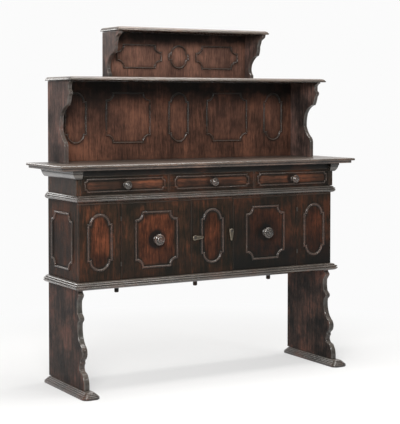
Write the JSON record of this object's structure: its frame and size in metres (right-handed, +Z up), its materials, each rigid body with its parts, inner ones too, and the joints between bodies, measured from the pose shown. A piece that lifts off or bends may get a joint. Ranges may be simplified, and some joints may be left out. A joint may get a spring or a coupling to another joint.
{
  "type": "credenza with gallery",
  "caption": "Dark walnut credenza on scrolled plank legs, with moulded cupboard doors, frieze drawers and a stepped gallery of panelled backs and shelves.",
  "frame": {"origin": "on the floor, under the middle of the overall box", "axes": "+Z up, +X to the viewer's right from the front, front towards -Y"},
  "size_m": [1.49, 0.425, 1.548],
  "materials": {
    "walnut": "very dark waxed walnut with worn edges",
    "panel_walnut": "waxed red-brown walnut",
    "turned_walnut": "polished dark turned walnut",
    "inner_wood": "plain unpolished wood",
    "iron": "dark forged iron",
    "brass": "dull brass"
  },
  "bodies": {
    "carcass": {"left_foot": "walnut", "right_foot": "walnut", "left_leg": "walnut", "right_leg": "walnut", "bottom_board": "walnut", "base_moulding_front": "walnut", "base_moulding_left": "walnut", "base_moulding_right": "walnut", "left_case_side": "panel_walnut", "right_case_side": "panel_walnut", "case_back": "inner_wood", "left_front_panel": "panel_walnut", "centre_front_panel": "panel_walnut", "right_front_panel": "panel_walnut", "left_lower_hinge_frame_half": "iron", "left_upper_hinge_frame_half": "iron", "right_lower_hinge_frame_half": "iron", "right_upper_hinge_frame_half": "iron", "left_button_pivot": "iron", "right_button_pivot": "iron", "dust_board": "walnut", "waist_moulding_front": "walnut", "waist_moulding_left": "walnut", "waist_moulding_right": "walnut", "left_frieze_side": "walnut", "right_frieze_side": "walnut", "frieze_back": "inner_wood", "top_rail": "walnut", "left_drawer_divider": "walnut", "right_drawer_divider": "walnut", "left_cove": "walnut", "right_cove": "walnut", "table_top": "walnut", "left_lower_bracket": "walnut", "right_lower_bracket": "walnut", "lower_back_panel": "panel_walnut", "gallery_shelf": "walnut", "left_upper_bracket": "walnut", "right_upper_bracket": "walnut", "upper_back_panel": "panel_walnut", "top_shelf": "walnut"},
    "left_door_body": {"left_door": "panel_walnut", "left_door_knob": "turned_walnut", "left_lower_hinge_door_half": "iron", "left_upper_hinge_door_half": "iron"},
    "right_door_body": {"right_door": "panel_walnut", "right_door_knob": "turned_walnut", "right_lower_hinge_door_half": "iron", "right_upper_hinge_door_half": "iron"},
    "left_drawer": {"left_drawer_front": "panel_walnut", "left_drawer_box": "inner_wood", "left_drawer_knob": "turned_walnut"},
    "centre_drawer": {"centre_drawer_front": "panel_walnut", "centre_drawer_box": "inner_wood", "centre_drawer_knob": "turned_walnut"},
    "right_drawer": {"right_drawer_front": "panel_walnut", "right_drawer_box": "inner_wood", "right_drawer_knob": "turned_walnut"},
    "left_button": {"left_turn_button": "brass"},
    "right_button": {"right_turn_button": "brass"}
  },
  "joints": [
    {"name": "left_door_swing", "type": "hinge", "parent": "carcass", "child": "left_door_body", "pos_m": [-0.45005, -0.1143, 0.6335], "axis": [0, 0, -1], "range_deg": [0, 110]},
    {"name": "right_door_swing", "type": "hinge", "parent": "carcass", "child": "right_door_body", "pos_m": [0.45005, -0.1143, 0.6335], "axis": [0, 0, 1], "range_deg": [0, 110]},
    {"name": "left_drawer_slide", "type": "slide", "parent": "carcass", "child": "left_drawer", "axis": [0, -1, 0], "range_m": [0, 0.2]},
    {"name": "centre_drawer_slide", "type": "slide", "parent": "carcass", "child": "centre_drawer", "axis": [0, -1, 0], "range_m": [0, 0.2]},
    {"name": "right_drawer_slide", "type": "slide", "parent": "carcass", "child": "right_drawer", "axis": [0, -1, 0], "range_m": [0, 0.2]},
    {"name": "left_button_turn", "type": "hinge", "parent": "carcass", "child": "left_button", "pos_m": [-0.0935, -0.1188, 0.6295], "axis": [0, -1, 0], "continuous": true},
    {"name": "right_button_turn", "type": "hinge", "parent": "carcass", "child": "right_button", "pos_m": [0.0935, -0.1188, 0.6505], "axis": [0, -1, 0], "continuous": true}
  ]
}
